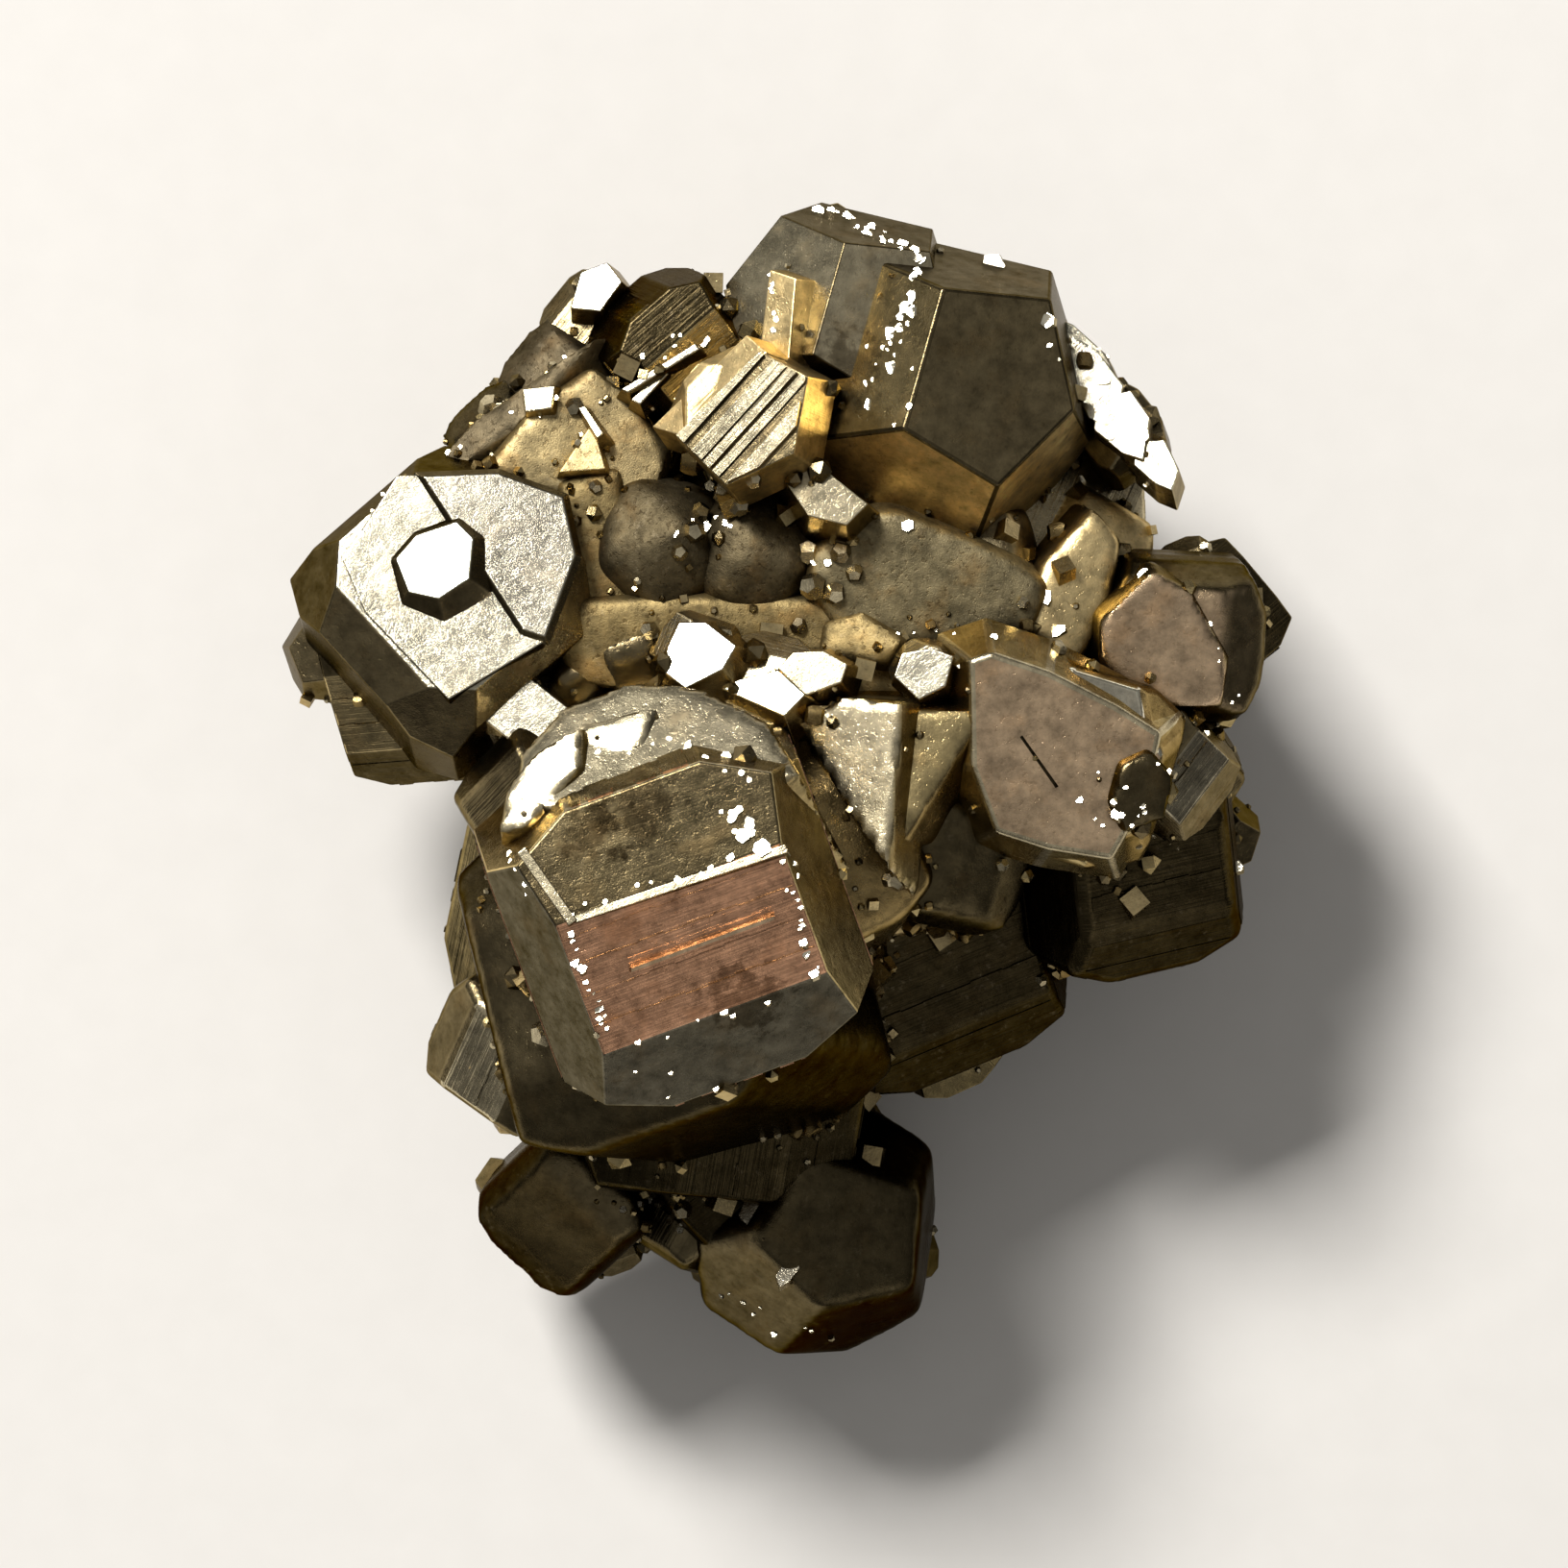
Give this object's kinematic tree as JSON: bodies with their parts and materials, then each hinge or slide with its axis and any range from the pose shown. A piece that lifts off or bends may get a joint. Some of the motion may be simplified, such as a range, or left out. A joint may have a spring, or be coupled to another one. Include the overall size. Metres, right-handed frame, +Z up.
{
  "type": "pyrite cluster",
  "caption": "Small raw pyrite cluster: striated metallic cubes and pyritohedra grown together over a broken crystalline underside with a flat resting spot.",
  "frame": {"origin": "middle of the bounding box at floor level, on the broken flat that the cluster rests on", "axes": "+Z up, away from the resting flat, towards the viewer of the picture; +Y along the longest side, up the picture; +X to the right in the picture"},
  "size_m": [0.0215, 0.0247, 0.0153],
  "materials": {
    "pyrite": "metallic, pale brass grey with olive and reddish tarnish, striated and bright on fresh faces"
  },
  "bodies": {
    "root": {"pyrite_cluster": "pyrite"}
  },
  "joints": []
}
